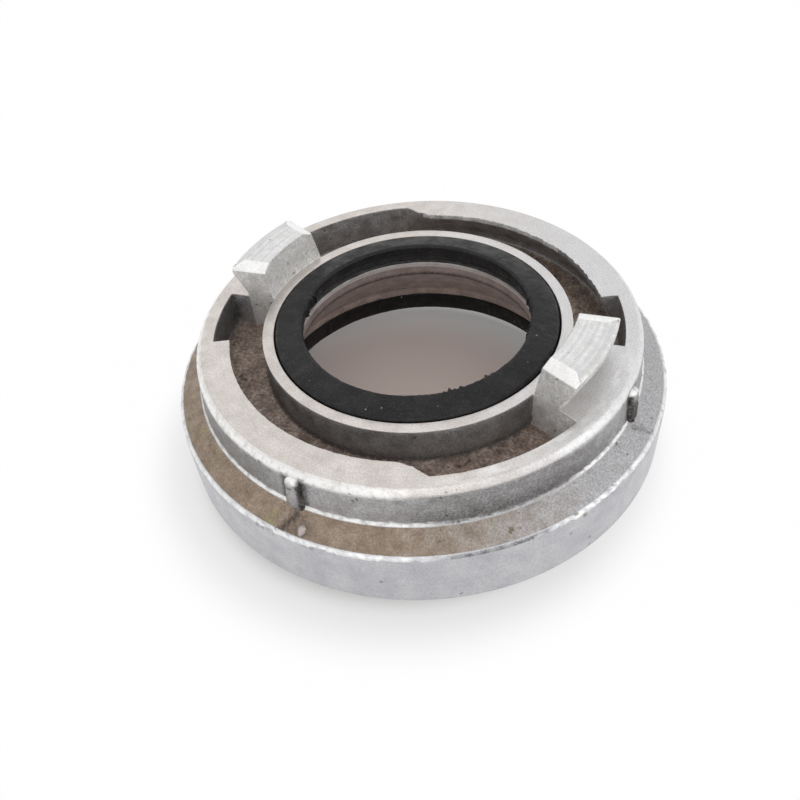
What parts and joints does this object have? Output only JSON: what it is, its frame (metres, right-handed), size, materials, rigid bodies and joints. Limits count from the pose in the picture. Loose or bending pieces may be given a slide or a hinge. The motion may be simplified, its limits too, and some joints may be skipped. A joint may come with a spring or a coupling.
{
  "type": "fire hose reducer",
  "caption": "Round cast aluminium hose reducer with hooked-lug quick couplings on both faces, a conical shoulder, wrench ribs and black rubber seals.",
  "frame": {"origin": "on the bore axis at the level of the large end's lug tips, which the part rests on", "axes": "+Z along the bore towards the small end, +X through the middle of the lugs of both faces"},
  "size_m": [0.144, 0.144, 0.055],
  "materials": {
    "cast_aluminium": "as cast, with turned faces, rim and skirt",
    "small_seal_rubber": "moulded, matte",
    "large_seal_rubber": "moulded, matte"
  },
  "bodies": {
    "root": {"reducer_body": "cast_aluminium", "small_end_gasket": "small_seal_rubber", "large_end_gasket": "large_seal_rubber"}
  },
  "joints": []
}
